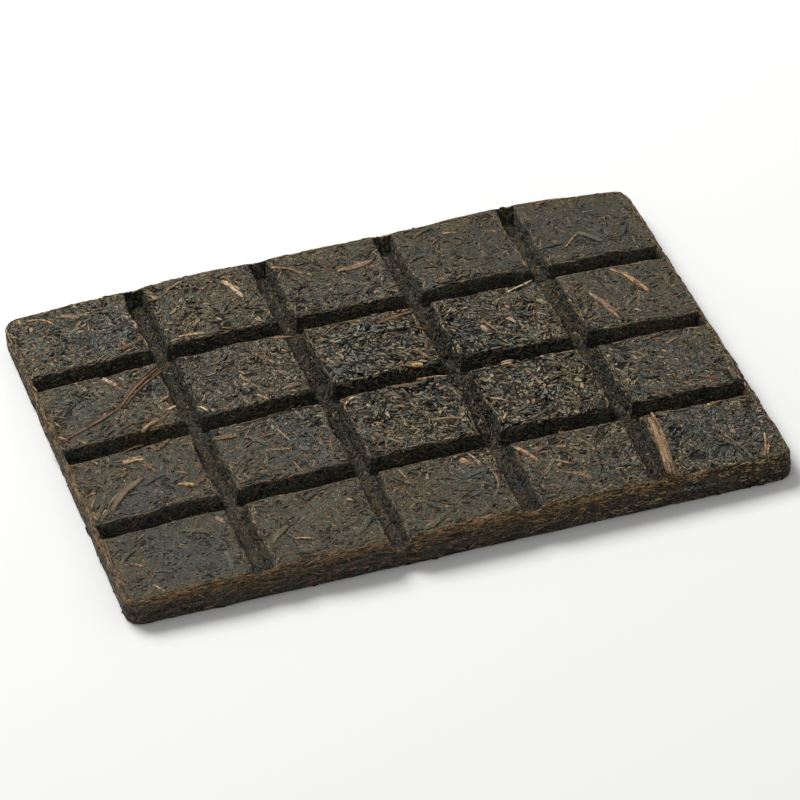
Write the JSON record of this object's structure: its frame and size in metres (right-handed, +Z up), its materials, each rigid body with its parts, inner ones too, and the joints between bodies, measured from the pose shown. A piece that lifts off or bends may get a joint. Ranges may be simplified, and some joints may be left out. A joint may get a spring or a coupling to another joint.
{
  "type": "fu brick tea",
  "caption": "Thin rectangular brick of pressed dark tea leaf and stem, scored by deep grooves into square blocks that break off, with a flat base and a gently arched top.",
  "frame": {"origin": "centre of the bounding box, on the flat base that the brick rests on", "axes": "+X along the long side, +Y along the short side away from the near edge with the broken groove end, +Z up out of the scored top"},
  "size_m": [0.2014, 0.1612, 0.0111],
  "materials": {
    "pressed_leaf": "dark grey-green pressed leaf with a faint sheen",
    "brown_leaf": "matt brown broken leaf and fibre",
    "stem": "matt tan split stem"
  },
  "bodies": {
    "root": {"tea_brick": "pressed_leaf"}
  },
  "joints": []
}
